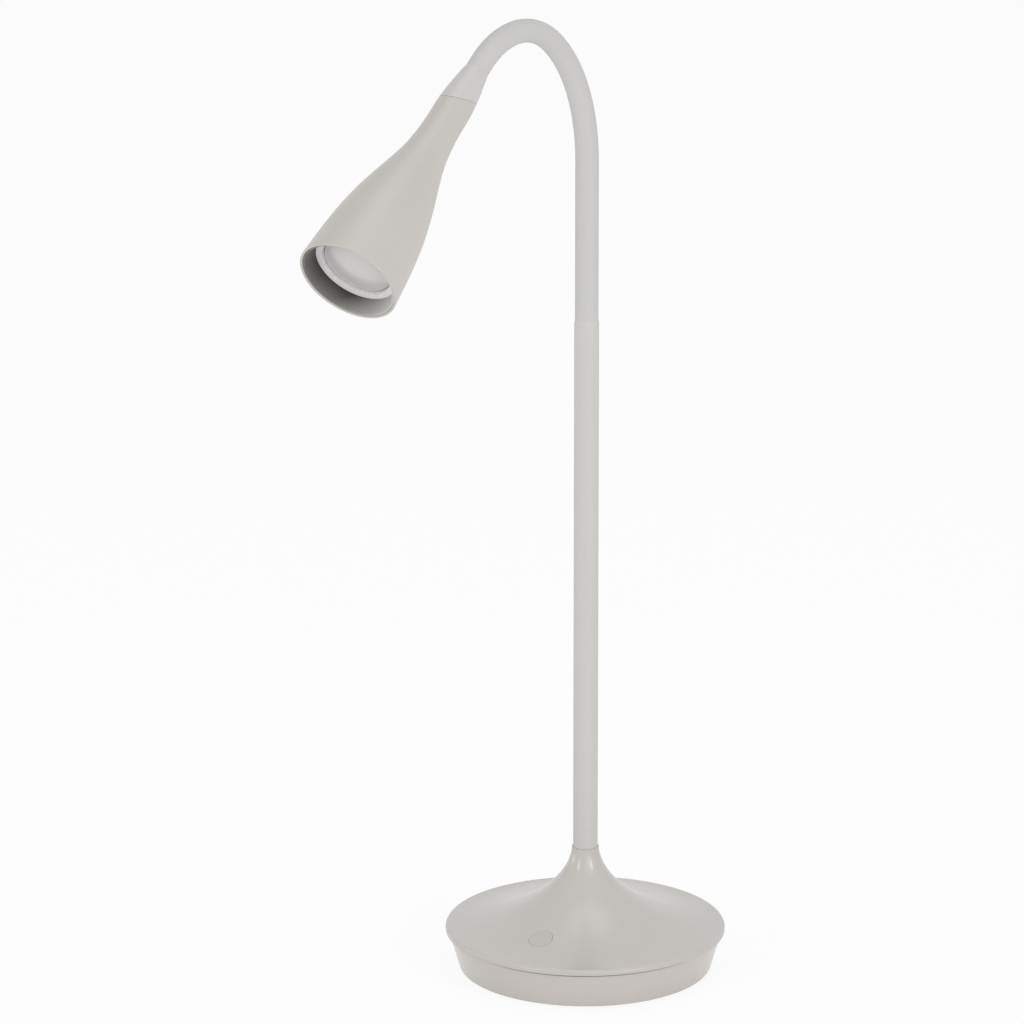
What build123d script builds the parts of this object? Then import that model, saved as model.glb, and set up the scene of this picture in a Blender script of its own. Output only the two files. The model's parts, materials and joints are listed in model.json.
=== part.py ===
"""LED table lamp: round weighted base, straight stem, gooseneck of hinged links and a trumpet-shaped head.

The origin is the middle of the foot pad's underside, +Z is up and the head reaches out along -Y.
"""
import math
import os

from build123d import *

# Base pan, foot pad and ballast, in millimetres
PAN_FOOT_RADIUS = 67.5
PAN_SPREAD = 5.5
PAN_HEADROOM = 3.9
PAN_WALL = 2.0
PAN_FLOOR = 3.5
PAN_EDGE_ROUND = 0.8
PAD_MARGIN = 5.5
PAD_THICKNESS = 2.0
PAD_PROUD = 1.0
BALLAST_MARGIN = 5.5
BALLAST_WEB = 3.3
BALLAST_EDGE = 1.0

# Base cover: rim, trumpet neck and the hub that holds the stem
RIM_OVERHANG = 2.0
RIM_EDGE = 1.4
RIM_ROUND = 1.6
RIM_SEAM = 1.1
COVER_WALL = 2.0
COVER_NECK_LIP = 0.5
COVER_RISE = 43.9
FLARE_POWER = 1.7
FLARE_ROOT = 0.55
FLARE_SHARES = (0.0, 0.15, 0.32, 0.5, 0.66, 0.79, 0.89, 0.955, 0.99, 1.0)
FLARE_INNER_SHARES = (0.2, 0.4, 0.58, 0.72, 0.82, 0.88)
LIP_HEIGHT = 3.1
LIP_WALL = 1.8
HUB_RADIUS = 11.0
HUB_SEAT_HEIGHT = 8.0

# Base screws and their bosses
BASE_SCREW_COUNT = 4
BASE_SCREW_START = 45.0
BASE_SCREW_INSET = 9.0
BASE_SCREW_RADIUS = 2.0
BASE_SCREW_HEAD_RADIUS = 3.9
BASE_SCREW_HEAD_HEIGHT = 1.9
BASE_SCREW_BITE = 7.0
BASE_BOSS_RADIUS = 4.4

# Stem and its clamping hardware
STEM_WALL = 1.1
STEM_TOP = 362.0
STEM_TIP_TAPER = 0.42
STEM_TIP_LENGTH = 2.6
NIPPLE_STEP = 0.5
NIPPLE_WALL = 1.7
NIPPLE_PLUG = 20.0
NIPPLE_PROUD = 0.4
NUT_FLATS = 17.0
NUT_HEIGHT = 4.0
NUT_LIFT = 3.0
NUT_POCKET_GAP = 1.7
WASHER_LIP = 1.0
WASHER_THICKNESS = 1.2
FERRULE_LENGTH = 24.0
FERRULE_WALL = 0.6

# Gooseneck: smooth sleeve on a wound core, standing straight and then bent in three arcs
SLEEVE_RADIUS = 6.2
SLEEVE_WALL = 1.4
CORE_WALL = 1.4
CORE_ROOT = 20.0
NECK_RISE = 85.0
SHOULDER_RADIUS = 91.8
SHOULDER_TURN = 53.3
CREST_RADIUS = 65.2
CREST_TURN = 50.75
DIP_RADIUS = 55.0
DIP_TURN = 18.63
NECK_TAIL = 6.0
JOINT_COUNT = 11
FIRST_JOINT = 10.0
LAST_LINK = 22.0
JOINT_LIP = 0.8
JOINT_GAP = 0.25

# Control board, its parts, the push button and the switch under it
BOARD_WIDTH = 34.0
BOARD_DEPTH = 22.0
BOARD_THICKNESS = 1.6
BOARD_POST_HEIGHT = 2.0
BOARD_POST_RADIUS = 3.0
BOARD_POST_INSET = 4.0
BOARD_SCREW_RADIUS = 1.25
BOARD_SCREW_HEAD_RADIUS = 2.3
BOARD_SCREW_HEAD_HEIGHT = 1.7
BOARD_SCREW_LENGTH = 6.0
BOARD_MARGIN = 0.6
PART_ROUND_SHARE = 0.2
CHOKE_RADIUS = 3.2
CHOKE_HEIGHT = 4.6
CAPACITOR_RADIUS = 2.6
CAPACITOR_HEIGHT = 5.4
SWITCH_WIDTH = 6.2
SWITCH_HEIGHT = 3.0
PLUNGER_RADIUS = 1.7
PLUNGER_SOCKET = 1.6
PLUNGER_PROUD = 1.2
BUTTON_INSET = 14.0
BUTTON_RADIUS = 6.3
BUTTON_WALL = 1.3
BUTTON_HOLLOW = 2.2
BUTTON_TRAVEL = 0.8
BUTTON_GAP = 0.15
BUTTON_FLANGE = 1.2
BUTTON_FLANGE_THICKNESS = 1.0
BUTTON_POST_RADIUS = 1.6
BUTTON_GUIDE_WALL = 1.8

# Cord gland at the back of the pan and the clamp behind it
GLAND_LIFT = 0.3
GLAND_RADIUS = 4.0
GLAND_BORE = 2.6
GLAND_FLANGE_RADIUS = 6.0
GLAND_FLANGE = 1.6
GLAND_TAIL = 5.0
GLAND_NUT_WALL = 1.7
GLAND_NUT_HEIGHT = 3.0
CHANNEL_GAP = 2.0
CHANNEL_MARGIN = 9.5
CLAMP_INSET = 19.4
CLAMP_WIDTH = 20.0
CLAMP_DEPTH = 7.0
CLAMP_HEIGHT = 4.5
CLAMP_POST_RADIUS = 3.0
CLAMP_SCREW_RADIUS = 1.5
CLAMP_SCREW_HEAD_RADIUS = 2.8
CLAMP_SCREW_HEAD_HEIGHT = 2.0
CLAMP_SCREW_LENGTH = 9.0

# Internal leads
LEAD_RADIUS = 1.1
LEAD_HOLE_RADIUS = 3.0
LEAD_HOLE_GAP = 11.0
LEAD_GROOVE_HEIGHT = 5.0
LEAD_BEND = 4.0
LEAD_FOOT_BEND = 2.8

# Head: collar, shade and the ring that shades the mouth
COLLAR_LIP = 0.3
COLLAR_LENGTH = 25.0
COLLAR_WAIST_SHARES = (0.48, 0.6)
SHADE_LENGTH = 123.8
SHADE_WALL = 1.3
MOUTH_RADIUS = 27.0
LIP_ROUND_SHARE = 0.42
SHADE_LENGTH_SHARES = (0.1, 0.2, 0.3, 0.42, 0.55, 0.7, 0.85, 1.0)
SHADE_SWELL_SHARES = (0.008, 0.048, 0.147, 0.358, 0.598, 0.804, 0.923, 1.0)
SEAM_STATION = 20.0
SEAM_TILT = 33.0
SEAM_WIDTH = 0.12
SPIGOT_LENGTH = 14.0
SPIGOT_WALL = 1.55
END_FERRULE_LENGTH = 10.0
END_FERRULE_WALL = 1.7
CORE_END = 24.0
BAFFLE_WALL = 0.9
BAFFLE_FOOT = 1.7
BAFFLE_SETBACK = 0.8

# Light module, measured back from the mouth
LENS_RING_DEPTH = 9.6
LENS_RING_THICKNESS = 3.0
LENS_RING_WIDTH = 3.4
RING_NOTCH_COUNT = 60
RING_NOTCH_WIDTH = 0.9
RING_NOTCH_DEPTH = 0.8
RING_NOTCH_LENGTH = 1.2
LENS_FLANGE = 1.4
LENS_FLANGE_LAP = 1.4
LENS_EDGE = 1.4
LENS_GAP = 0.8
LENS_CROWN = 2.4
REFLECTOR_HEIGHT = 9.5
REFLECTOR_WALL = 1.0
REFLECTOR_GAP = 3.5
LED_BOARD_GAP = 0.8
LED_BOARD_THICKNESS = 1.6
EMITTER_GAP = 1.5
EMITTER_HEIGHT = 1.0
LED_SCREW_COUNT = 2
LED_SCREW_INSET = 2.8
LED_SCREW_RADIUS = 1.25
LED_SCREW_HEAD_RADIUS = 2.2
LED_SCREW_HEAD_HEIGHT = 1.6
LED_SCREW_LENGTH = 5.0
SINK_GAP = 2.0
SINK_FLANGE = 4.0
SINK_CORE_RADIUS = 7.0
SINK_FIN_GAP = 2.0
SINK_FIN_COUNT = 6
SINK_FIN_THICKNESS = 1.6
SINK_FIN_PITCH = 3.6
SINK_BORE = 1.7
LEDGE_LAP = 4.2
LEDGE_THICKNESS = 5.0
MODULE_SCREW_COUNT = 3
MODULE_SCREW_RADIUS = 1.0
MODULE_SCREW_HEAD_RADIUS = 1.8
MODULE_SCREW_HEAD_HEIGHT = 1.3
MODULE_SCREW_LENGTH = 7.5

# Clearances and the overrun of cuts
SLIDE = 0.3
FIT = 0.1
THREAD = 0.06
DRIVE_SLOT = 0.7
OVERRUN = 5.0

# Radii of the gooseneck and the stem, from the sleeve inwards and out again
core_radius = SLEEVE_RADIUS - SLEEVE_WALL - FIT
core_bore = core_radius - CORE_WALL
joint_ball = SLEEVE_RADIUS + JOINT_LIP
stem_bore = core_radius + FIT + FERRULE_WALL + FIT
stem_radius = stem_bore + STEM_WALL
nipple_radius = stem_bore - NIPPLE_STEP
nipple_bore = nipple_radius - NIPPLE_WALL

# Heights of the base, stacked up from the table
nut_corner_radius = NUT_FLATS / math.sqrt(3)
nut_pocket_radius = nut_corner_radius + NUT_POCKET_GAP
nut_pocket_height = NUT_LIFT + NUT_HEIGHT + WASHER_THICKNESS
ballast_height = nut_pocket_height + BALLAST_WEB
pan_height = PAN_FLOOR + ballast_height + PAN_HEADROOM
pan_foot = PAD_PROUD
pan_floor_top = pan_foot + PAN_FLOOR
pan_top = pan_foot + pan_height
pan_recess_top = PAD_THICKNESS
nut_foot = pan_floor_top + NUT_LIFT
washer_foot = nut_foot + NUT_HEIGHT
nipple_foot = nut_foot - NIPPLE_PROUD
ballast_top = pan_floor_top + ballast_height
rim_foot = pan_top + RIM_SEAM
rim_crown = rim_foot + RIM_EDGE + RIM_ROUND
cover_neck_top = rim_crown + COVER_RISE
hub_foot = ballast_top
hub_seat = hub_foot + HUB_SEAT_HEIGHT
lip_foot = rim_foot - LIP_HEIGHT


def pan_radius(height):
    """Outer radius of the pan's tapered wall at a height above the table."""
    return PAN_FOOT_RADIUS + PAN_SPREAD * (height - pan_foot) / pan_height


# Radii and reaches across the base
pan_top_radius = PAN_FOOT_RADIUS + PAN_SPREAD
pad_radius = PAN_FOOT_RADIUS - PAD_MARGIN
ballast_radius = pan_radius(pan_floor_top) - PAN_WALL - BALLAST_MARGIN
base_screw_circle = ballast_radius - BASE_SCREW_INSET
rim_radius = pan_top_radius + RIM_OVERHANG
cover_neck_radius = stem_radius + FIT + COVER_NECK_LIP
flare_foot_radius = rim_radius - RIM_ROUND
flare_run = flare_foot_radius - cover_neck_radius
lip_outer = pan_radius(lip_foot) - PAN_WALL - SLIDE
lip_inner = lip_outer - LIP_WALL
lip_share = (flare_foot_radius - lip_inner) / flare_run
button_reach = ballast_radius - BUTTON_INSET
lead_hole_reach = button_reach - BOARD_DEPTH / 2 - LEAD_HOLE_GAP


def flare_point(share, inset):
    """Point (radius, height) on the cover's trumpet, moved inwards across the wall by an inset.

    The height rises over the run as 1 - (1 - share^power)^root: flat at the rim, upright at the neck.
    """
    level = 1 - share**FLARE_POWER
    rise = COVER_RISE * (1 - level**FLARE_ROOT)
    point = Vector(flare_foot_radius - flare_run * share, rim_crown + rise)
    if inset == 0:
        return (point.X, point.Y)
    slope = COVER_RISE * FLARE_ROOT * level ** (FLARE_ROOT - 1) * FLARE_POWER * share ** (FLARE_POWER - 1)
    inward = Vector(-slope, -flare_run).normalized()
    moved = point + inward * inset
    return (moved.X, moved.Y)


def cover_height(radius):
    """Height of the cover's outer face at a radius within its trumpet."""
    return flare_point((flare_foot_radius - radius) / flare_run, 0)[1]


# Frame of the gooseneck: straight rise, three arcs and a straight tail towards the head
NECK_RUNS = (
    (NECK_RISE, 0),
    (SHOULDER_RADIUS * math.radians(SHOULDER_TURN), SHOULDER_RADIUS),
    (CREST_RADIUS * math.radians(CREST_TURN), CREST_RADIUS),
    (DIP_RADIUS * math.radians(DIP_TURN), DIP_RADIUS),
    (NECK_TAIL, 0),
)
neck_length = sum(length for length, radius in NECK_RUNS)
joint_pitch = (neck_length - FIRST_JOINT - LAST_LINK) / (JOINT_COUNT - 1)
joint_runs = [FIRST_JOINT + joint_pitch * index for index in range(JOINT_COUNT)]


def neck_place(run):
    """Point on the gooseneck's centre line and its lean from upright, in degrees, after a given run."""
    point = Vector(0, 0, STEM_TOP)
    lean = 0.0
    left = run
    for index, (length, radius) in enumerate(NECK_RUNS):
        last = index == len(NECK_RUNS) - 1
        step = left if last else min(left, length)
        ahead = Vector(0, -math.sin(math.radians(lean)), math.cos(math.radians(lean)))
        if radius == 0:
            point = point + ahead * step
        else:
            inside = Vector(0, -math.cos(math.radians(lean)), -math.sin(math.radians(lean)))
            turn = step / radius
            point = point + ahead * (radius * math.sin(turn)) + inside * (radius * (1 - math.cos(turn)))
            lean = lean + math.degrees(turn)
        left = left - step
        if left <= 0:
            break
    return point, lean


def neck_plane(run):
    """Plane across the gooseneck at a given run, facing along it."""
    point, lean = neck_place(run)
    ahead = (0, -math.sin(math.radians(lean)), math.cos(math.radians(lean)))
    return Plane(origin=point, x_dir=(1, 0, 0), z_dir=ahead)


def neck_spans(start, end):
    """Stretches of the gooseneck between two runs, each with one bend radius, or 0 where it is straight."""
    spans = []
    low = start
    total = 0
    for index, (length, radius) in enumerate(NECK_RUNS):
        last = index == len(NECK_RUNS) - 1
        total = total + length
        high = end if last else min(end, total)
        if high > low + THREAD or (last and high > low):
            spans.append((low, high, radius))
            low = high
    return spans


def axial_section(across):
    """Plane through the axis of a given cross plane: its x is the radius, its y runs along the axis."""
    return Plane(origin=across.origin, x_dir=across.x_dir, z_dir=across.x_dir.cross(across.z_dir))


def neck_tube(start, end, outer, inner):
    """Sweep a ring along the gooseneck's centre line between two runs."""
    with BuildLine() as path:
        for first, second, radius in neck_spans(start, end):
            middle = (first + second) / 2
            if radius == 0:
                Line(neck_place(first)[0], neck_place(second)[0])
            else:
                ThreePointArc(neck_place(first)[0], neck_place(middle)[0], neck_place(second)[0])
    with BuildSketch(neck_plane(start)) as ring:
        Circle(outer)
        Circle(inner, mode=Mode.SUBTRACT)
    sweep(ring.sketch, path=path.wire())


def cut_dome(run):
    """Trim the far end of a link to a dome about its joint."""
    across = neck_plane(run)
    dome = joint_ball - JOINT_GAP
    reach = joint_ball + OVERRUN
    with BuildSketch(axial_section(across)) as outside:
        with BuildLine():
            CenterArc((0, 0), dome, 0, 90)
            Polyline((0, dome), (0, reach), (reach, reach), (reach, 0), (dome, 0))
        make_face()
    revolve(outside.sketch, axis=Axis(across.origin, across.z_dir), mode=Mode.SUBTRACT)


def cut_cup(run):
    """Hollow the near end of a link to a cup around its joint."""
    with Locations(neck_place(run)[0]):
        Sphere(joint_ball, mode=Mode.SUBTRACT)


# Frame of the head: stations run from the tip of the collar to the mouth of the shade
collar_tip_radius = SLEEVE_RADIUS + COLLAR_LIP
spigot_bore = core_radius + FIT + END_FERRULE_WALL + FIT
spigot_radius = spigot_bore + SPIGOT_WALL
tail_radius = spigot_radius + FIT + SHADE_WALL
head_plane = neck_plane(neck_length)
head_axis = Axis(head_plane.origin, head_plane.z_dir)
head_section = axial_section(head_plane)
mouth_station = COLLAR_LENGTH + SHADE_LENGTH
swell = MOUTH_RADIUS - tail_radius
collar_waist_radius = collar_tip_radius + (tail_radius - collar_tip_radius) * COLLAR_WAIST_SHARES[1]
collar_outline = [(collar_tip_radius, 0), (collar_waist_radius, COLLAR_LENGTH * COLLAR_WAIST_SHARES[0])]
shade_outline = [(tail_radius, COLLAR_LENGTH)]
for length_share, swell_share in zip(SHADE_LENGTH_SHARES, SHADE_SWELL_SHARES):
    shade_outline.append((tail_radius + swell * swell_share, COLLAR_LENGTH + SHADE_LENGTH * length_share))


def shade_radius(station):
    """Outer radius of the shade at a station, read between the points of its outline."""
    for (low, start), (high, end) in zip(shade_outline[:-1], shade_outline[1:]):
        if start <= station <= end:
            return low + (high - low) * (station - start) / (end - start)
    return shade_outline[-1][0]


def finish(piece, label):
    """Name a finished sub-part and write it."""
    piece.part.label = label
    export_step(piece.part, f"parts/{label}.step")


def screws(planes, radius, length, head_radius, head_height):
    """Pan-head screws: each plane lies under a head and faces away from the thread."""
    for plane in planes:
        with BuildSketch(plane) as shank:
            Circle(radius)
        extrude(shank.sketch, amount=-length)
        with BuildSketch(plane) as head:
            Circle(head_radius)
        extrude(head.sketch, amount=head_height)
        with BuildSketch(plane.offset(head_height)) as drive:
            Rectangle(head_radius, DRIVE_SLOT)
            Rectangle(DRIVE_SLOT, head_radius)
        extrude(drive.sketch, amount=-head_height / 2, mode=Mode.SUBTRACT)


os.makedirs("parts", exist_ok=True)

# Places shared by the pieces of the base
board_foot = ballast_top + BOARD_POST_HEIGHT
board_top = board_foot + BOARD_THICKNESS
switch_top = board_top + SWITCH_HEIGHT
plunger_top = switch_top + PLUNGER_PROUD
button_flange_foot = switch_top + BUTTON_TRAVEL + FIT
button_flange_top = button_flange_foot + BUTTON_FLANGE_THICKNESS
guide_foot = button_flange_top + FIT
guide_radius = BUTTON_RADIUS + BUTTON_GAP + BUTTON_GUIDE_WALL
button_place = (0, -button_reach)
board_screw_reach = BOARD_WIDTH / 2 - BOARD_POST_INSET
board_screw_places = [(-board_screw_reach, -button_reach), (board_screw_reach, -button_reach)]
wall_tilt = math.degrees(math.atan2(PAN_SPREAD, pan_height))
gland_nut_radius = GLAND_RADIUS + GLAND_NUT_WALL
gland_height = pan_floor_top + gland_nut_radius + GLAND_LIFT
gland_point = Vector(0, pan_radius(gland_height), gland_height)
gland_out = Vector(0, math.cos(math.radians(wall_tilt)), -math.sin(math.radians(wall_tilt)))
gland_plane = Plane(origin=gland_point, x_dir=(1, 0, 0), z_dir=gland_out)
clamp_reach = gland_point.Y - CLAMP_INSET
clamp_foot = gland_height + CLAMP_INSET * math.tan(math.radians(wall_tilt))
clamp_post_height = clamp_foot - pan_floor_top
clamp_post_reach = CLAMP_WIDTH / 2 - CLAMP_POST_RADIUS
clamp_post_places = [(-clamp_post_reach, clamp_reach), (clamp_post_reach, clamp_reach)]
channel_reach = clamp_reach - CLAMP_DEPTH / 2 - CHANNEL_MARGIN
channel_width = CLAMP_WIDTH + 2 * CHANNEL_GAP

# Base pan: tapered skirt and floor, with the gland's hole, clamp posts and screw holes
with BuildPart() as base_pan:
    with BuildSketch(Plane.XZ):
        with BuildLine():
            Polyline(
                (0, pan_foot),
                (PAN_FOOT_RADIUS, pan_foot),
                (pan_top_radius, pan_top),
                (pan_top_radius - PAN_WALL, pan_top),
                (pan_radius(pan_floor_top) - PAN_WALL, pan_floor_top),
                (0, pan_floor_top),
                close=True,
            )
        make_face()
    revolve(axis=Axis.Z)
    fillet(base_pan.edges().filter_by(GeomType.CIRCLE).group_by(Axis.Z)[0], PAN_EDGE_ROUND)
    with BuildSketch(Plane.XY.offset(pan_foot)):
        Circle(pad_radius + SLIDE)
    extrude(amount=pan_recess_top - pan_foot, mode=Mode.SUBTRACT)
    with BuildSketch(Plane.XY.offset(pan_floor_top)):
        with Locations(*clamp_post_places):
            Circle(CLAMP_POST_RADIUS)
    extrude(amount=clamp_post_height)
    with BuildSketch(Plane.XY.offset(clamp_foot)):
        with Locations(*clamp_post_places):
            Circle(CLAMP_SCREW_RADIUS + THREAD)
    extrude(amount=-clamp_post_height, mode=Mode.SUBTRACT)
    with BuildSketch(gland_plane.offset(OVERRUN)):
        Circle(GLAND_RADIUS + FIT)
    extrude(amount=-(PAN_WALL + OVERRUN + OVERRUN), mode=Mode.SUBTRACT)
    with Locations(Plane.XY.offset(pan_recess_top)):
        with PolarLocations(base_screw_circle, BASE_SCREW_COUNT, start_angle=BASE_SCREW_START):
            Cylinder(BASE_SCREW_RADIUS + SLIDE, PAN_FLOOR, align=(Align.CENTER, Align.CENTER, Align.MIN),
                     mode=Mode.SUBTRACT)
            Cone(BASE_SCREW_HEAD_RADIUS + FIT, BASE_SCREW_RADIUS + FIT, BASE_SCREW_HEAD_HEIGHT,
                 align=(Align.CENTER, Align.CENTER, Align.MIN), mode=Mode.SUBTRACT)
finish(base_pan, "base_pan")

# Foot pad: anti-slip sheet let into the underside of the pan
with BuildPart() as foot_pad:
    Cylinder(pad_radius, PAD_THICKNESS, align=(Align.CENTER, Align.CENTER, Align.MIN))
finish(foot_pad, "foot_pad")

# Ballast: cast disc with a pocket for the nut, a channel for the cord, a groove and hole for the lead
with BuildPart() as ballast:
    with BuildSketch(Plane.XY.offset(pan_floor_top)):
        Circle(ballast_radius)
        with Locations((0, channel_reach + ballast_radius / 2)):
            Rectangle(channel_width, ballast_radius, mode=Mode.SUBTRACT)
    extrude(amount=ballast_height)
    chamfer(ballast.edges().filter_by(GeomType.CIRCLE).group_by(Axis.Z)[-1], BALLAST_EDGE)
    with BuildSketch(Plane.XY.offset(ballast_top)):
        with Locations(*board_screw_places):
            Circle(BOARD_POST_RADIUS)
    extrude(amount=BOARD_POST_HEIGHT)
    with BuildSketch(Plane.XY.offset(board_foot)):
        with Locations(*board_screw_places):
            Circle(BOARD_SCREW_RADIUS + THREAD)
    extrude(amount=-BOARD_SCREW_LENGTH, mode=Mode.SUBTRACT)
    with BuildSketch(Plane.XY.offset(pan_floor_top)):
        Circle(nipple_radius + SLIDE)
        with PolarLocations(base_screw_circle, BASE_SCREW_COUNT, start_angle=BASE_SCREW_START):
            Circle(BASE_SCREW_RADIUS + SLIDE)
        with Locations((0, -lead_hole_reach)):
            Circle(LEAD_HOLE_RADIUS)
    extrude(amount=ballast_height, mode=Mode.SUBTRACT)
    with BuildSketch(Plane.XY.offset(pan_floor_top)):
        Circle(nut_pocket_radius)
    extrude(amount=nut_pocket_height, mode=Mode.SUBTRACT)
    with BuildSketch(Plane.XY.offset(pan_floor_top)):
        with Locations((0, -lead_hole_reach / 2)):
            SlotCenterToCenter(lead_hole_reach, 2 * LEAD_HOLE_RADIUS, rotation=90)
    extrude(amount=LEAD_GROOVE_HEIGHT, mode=Mode.SUBTRACT)
finish(ballast, "ballast")

# Solid bounded by the cover's outer face, which trims the bosses and shapes the button
outer_flare = [flare_point(share, 0) for share in FLARE_SHARES[::-1]]
with BuildPart() as cover_envelope:
    with BuildSketch(Plane.XZ):
        with BuildLine():
            Polyline(
                (rim_radius, rim_crown - RIM_ROUND),
                (rim_radius, rim_foot),
                (rim_radius, hub_foot),
                (0, hub_foot),
                (0, cover_neck_top),
                (cover_neck_radius, cover_neck_top),
            )
            Spline(outer_flare, tangents=[(0, -1), (1, 0)], tangent_scalars=[1, 1])
            RadiusArc((flare_foot_radius, rim_crown), (rim_radius, rim_crown - RIM_ROUND), RIM_ROUND)
        make_face()
    revolve(axis=Axis.Z)

# Base cover: trumpet shell with its hub, locating lip, screw bosses and button guide
inner_flare = [flare_point(share, COVER_WALL) for share in (lip_share, *FLARE_INNER_SHARES)]
with BuildPart() as base_cover:
    with BuildSketch(Plane.XZ):
        with BuildLine():
            Polyline(
                (rim_radius, rim_crown - RIM_ROUND),
                (rim_radius, rim_foot),
                (lip_outer, rim_foot),
                (lip_outer, lip_foot),
                (lip_inner, lip_foot),
                inner_flare[0],
            )
            Spline(inner_flare)
            Polyline(
                inner_flare[-1],
                (HUB_RADIUS, inner_flare[-1][1]),
                (HUB_RADIUS, hub_foot),
                (nipple_radius + SLIDE, hub_foot),
                (nipple_radius + SLIDE, hub_seat),
                (stem_radius + FIT, hub_seat),
                (stem_radius + FIT, cover_neck_top),
                (cover_neck_radius, cover_neck_top),
            )
            Spline(outer_flare, tangents=[(0, -1), (1, 0)], tangent_scalars=[1, 1])
            RadiusArc((flare_foot_radius, rim_crown), (rim_radius, rim_crown - RIM_ROUND), RIM_ROUND)
        make_face()
    revolve(axis=Axis.Z)
    with BuildSketch(Plane.XY.offset(ballast_top)):
        with PolarLocations(base_screw_circle, BASE_SCREW_COUNT, start_angle=BASE_SCREW_START):
            Circle(BASE_BOSS_RADIUS)
    extrude(amount=cover_height(base_screw_circle - BASE_BOSS_RADIUS) - ballast_top)
    with BuildSketch(Plane.XY.offset(guide_foot)):
        with Locations(button_place):
            Circle(guide_radius)
    extrude(amount=cover_height(button_reach - guide_radius) - guide_foot)
    add(cover_envelope.part, mode=Mode.INTERSECT)
    with BuildSketch(Plane.XY.offset(ballast_top)):
        with PolarLocations(base_screw_circle, BASE_SCREW_COUNT, start_angle=BASE_SCREW_START):
            Circle(BASE_SCREW_RADIUS + THREAD)
    extrude(amount=BASE_SCREW_BITE, mode=Mode.SUBTRACT)
    with BuildSketch(Plane.XY.offset(guide_foot)):
        with Locations(button_place):
            Circle(BUTTON_RADIUS + BUTTON_GAP)
    extrude(amount=cover_neck_top - guide_foot, mode=Mode.SUBTRACT)
finish(base_cover, "base_cover")

# Base screws: countersunk from below, through pan and ballast into the cover's bosses
with BuildPart() as base_screws:
    with Locations(Plane.XY.offset(pan_recess_top)):
        with PolarLocations(base_screw_circle, BASE_SCREW_COUNT, start_angle=BASE_SCREW_START):
            Cone(BASE_SCREW_HEAD_RADIUS, BASE_SCREW_RADIUS, BASE_SCREW_HEAD_HEIGHT,
                 align=(Align.CENTER, Align.CENTER, Align.MIN))
            Cylinder(BASE_SCREW_RADIUS, ballast_top + BASE_SCREW_BITE - pan_recess_top,
                     align=(Align.CENTER, Align.CENTER, Align.MIN))
            Box(BASE_SCREW_HEAD_RADIUS, DRIVE_SLOT, BASE_SCREW_HEAD_HEIGHT, mode=Mode.SUBTRACT)
            Box(DRIVE_SLOT, BASE_SCREW_HEAD_RADIUS, BASE_SCREW_HEAD_HEIGHT, mode=Mode.SUBTRACT)
finish(base_screws, "base_screws")

# Stem tube, slightly tapered at its tip
with BuildPart() as stem_tube:
    with BuildSketch(Plane.XZ):
        with BuildLine():
            Polyline(
                (stem_bore, hub_seat),
                (stem_radius, hub_seat),
                (stem_radius, STEM_TOP - STEM_TIP_LENGTH),
                (stem_radius - STEM_TIP_TAPER, STEM_TOP),
                (stem_bore, STEM_TOP),
                close=True,
            )
        make_face()
    revolve(axis=Axis.Z)
finish(stem_tube, "stem_tube")

# Stem nipple: plug in the foot of the stem with a threaded hollow shank
with BuildPart() as stem_nipple:
    with BuildSketch(Plane.XZ):
        with BuildLine():
            Polyline(
                (nipple_bore, nipple_foot),
                (nipple_radius, nipple_foot),
                (nipple_radius, hub_seat),
                (stem_bore - FIT, hub_seat),
                (stem_bore - FIT, hub_seat + NIPPLE_PLUG),
                (nipple_bore, hub_seat + NIPPLE_PLUG),
                close=True,
            )
        make_face()
    revolve(axis=Axis.Z)
finish(stem_nipple, "stem_nipple")

# Washer and nut under the ballast
with BuildPart() as stem_washer:
    with BuildSketch(Plane.XY.offset(washer_foot)):
        Circle(NUT_FLATS / 2 + WASHER_LIP)
        Circle(nipple_radius + SLIDE, mode=Mode.SUBTRACT)
    extrude(amount=WASHER_THICKNESS)
finish(stem_washer, "stem_washer")

with BuildPart() as stem_nut:
    with BuildSketch(Plane.XY.offset(nut_foot)):
        RegularPolygon(NUT_FLATS / 2, 6, major_radius=False)
        Circle(nipple_radius + THREAD, mode=Mode.SUBTRACT)
    extrude(amount=NUT_HEIGHT)
finish(stem_nut, "stem_nut")

# Control board with its screws, choke, capacitor and push switch
with BuildPart() as control_board:
    with BuildSketch(Plane.XY.offset(board_foot)):
        with Locations(button_place):
            RectangleRounded(BOARD_WIDTH, BOARD_DEPTH, BOARD_POST_RADIUS)
        with Locations(*board_screw_places):
            Circle(BOARD_SCREW_RADIUS + FIT, mode=Mode.SUBTRACT)
    extrude(amount=BOARD_THICKNESS)
finish(control_board, "control_board")

with BuildPart() as board_screws:
    screws([Plane(origin=(x, y, board_top)) for x, y in board_screw_places], BOARD_SCREW_RADIUS,
           BOARD_SCREW_LENGTH, BOARD_SCREW_HEAD_RADIUS, BOARD_SCREW_HEAD_HEIGHT)
finish(board_screws, "board_screws")

board_part_row = -button_reach + BOARD_DEPTH / 2 - BOARD_MARGIN - CHOKE_RADIUS
board_part_column = BOARD_WIDTH / 2 - BOARD_MARGIN - CHOKE_RADIUS
with BuildPart() as board_choke:
    with BuildSketch(Plane.XY.offset(board_top)):
        with Locations((board_part_column, board_part_row)):
            Circle(CHOKE_RADIUS)
    extrude(amount=CHOKE_HEIGHT)
    fillet(board_choke.edges().group_by(Axis.Z)[-1], CHOKE_RADIUS * PART_ROUND_SHARE)
finish(board_choke, "board_choke")

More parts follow.
